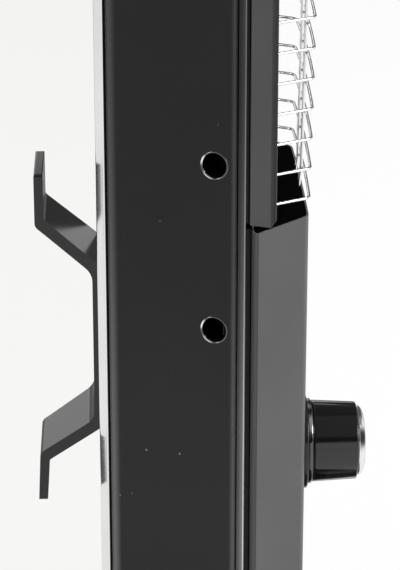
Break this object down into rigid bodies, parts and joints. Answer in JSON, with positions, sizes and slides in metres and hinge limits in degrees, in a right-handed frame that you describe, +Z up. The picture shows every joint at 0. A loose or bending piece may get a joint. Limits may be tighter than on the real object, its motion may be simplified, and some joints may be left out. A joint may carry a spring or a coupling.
{
  "type": "tower heater",
  "caption": "Free-standing tower heater: quartz lamps behind a bowed wire guard, flared steel housing, front control knob, rear cord bracket and round weighted base.",
  "frame": {"origin": "middle of the round base, on the floor", "axes": "+Z up the tower, -Y towards the front with the guard and knob, X across"},
  "size_m": [0.27, 0.27, 0.844],
  "materials": {
    "base_shell": "satin black moulding",
    "plain_steel": "zinc plated sheet",
    "weight_iron": "rough casting",
    "foot_rubber": "matt black rubber",
    "screw_steel": "zinc plated",
    "pale_plastic": "pale engineering plastic",
    "black_moulding": "fine grained black moulding",
    "gloss_moulding": "semi-gloss black moulding",
    "black_panel": "satin black powder coat",
    "polished_cover": "bright polished sheet",
    "chassis_paint": "satin grey paint",
    "frame_paint": "satin dark grey paint",
    "cover_paint": "satin dark grey paint",
    "reflector_aluminium": "bright rolled sheet",
    "quartz_glass": "clear quartz",
    "carbon": "woven carbon strip",
    "ceramic": "unglazed white ceramic",
    "lead_sleeve": "glass fibre sleeve",
    "guard_chrome": "chromed wire",
    "nut_brass": "plain brass",
    "knob_gloss": "gloss black moulding",
    "cap_chrome": "chromed cap"
  },
  "bodies": {
    "heater": {"base_cover": "base_shell", "base_plate": "plain_steel", "base_weight": "weight_iron", "base_feet": "foot_rubber", "base_screws": "screw_steel", "tip_switch": "pale_plastic", "tower_foot": "black_moulding", "foot_screws": "screw_steel", "housing_shell": "black_panel", "side_bushes": "black_moulding", "rear_cover": "polished_cover", "rear_spacers": "black_moulding", "rear_screws": "screw_steel", "cord_bush": "foot_rubber", "cord_bracket": "gloss_moulding", "bracket_screws": "screw_steel", "front_chassis": "chassis_paint", "side_frame_left": "frame_paint", "side_frame_right": "frame_paint", "lower_cover": "cover_paint", "lower_sill": "gloss_moulding", "upper_cover": "cover_paint", "upper_sill": "gloss_moulding", "top_cap": "black_moulding", "reflector": "reflector_aluminium", "lamp_plate_lower": "reflector_aluminium", "lamp_plate_upper": "reflector_aluminium", "quartz_tubes": "quartz_glass", "carbon_filaments": "carbon", "lamp_ends": "ceramic", "lamp_leads": "lead_sleeve", "thermal_cutout": "plain_steel", "terminal_block": "pale_plastic", "guard_rows": "guard_chrome", "guard_uprights": "guard_chrome", "guard_side_bars": "guard_chrome", "switch_body": "pale_plastic", "switch_nut": "nut_brass", "dial_ring": "black_moulding", "tip_spring": "screw_steel"},
    "control": {"switch_shaft": "screw_steel", "knob": "knob_gloss", "knob_cap": "cap_chrome"},
    "plunger": {"tip_plunger": "pale_plastic"}
  },
  "joints": [
    {"name": "knob_turn", "type": "hinge", "parent": "heater", "child": "control", "pos_m": [0, -0.07, 0.1917], "axis": [0, 1, 0], "range_deg": [0, 270]},
    {"name": "plunger_slide", "type": "slide", "parent": "heater", "child": "plunger", "axis": [0, 0, -1], "range_m": [0, 0.004], "stiffness_N_per_m": 60, "springref_m": 0.008, "deforming": ["tip_spring"]}
  ]
}
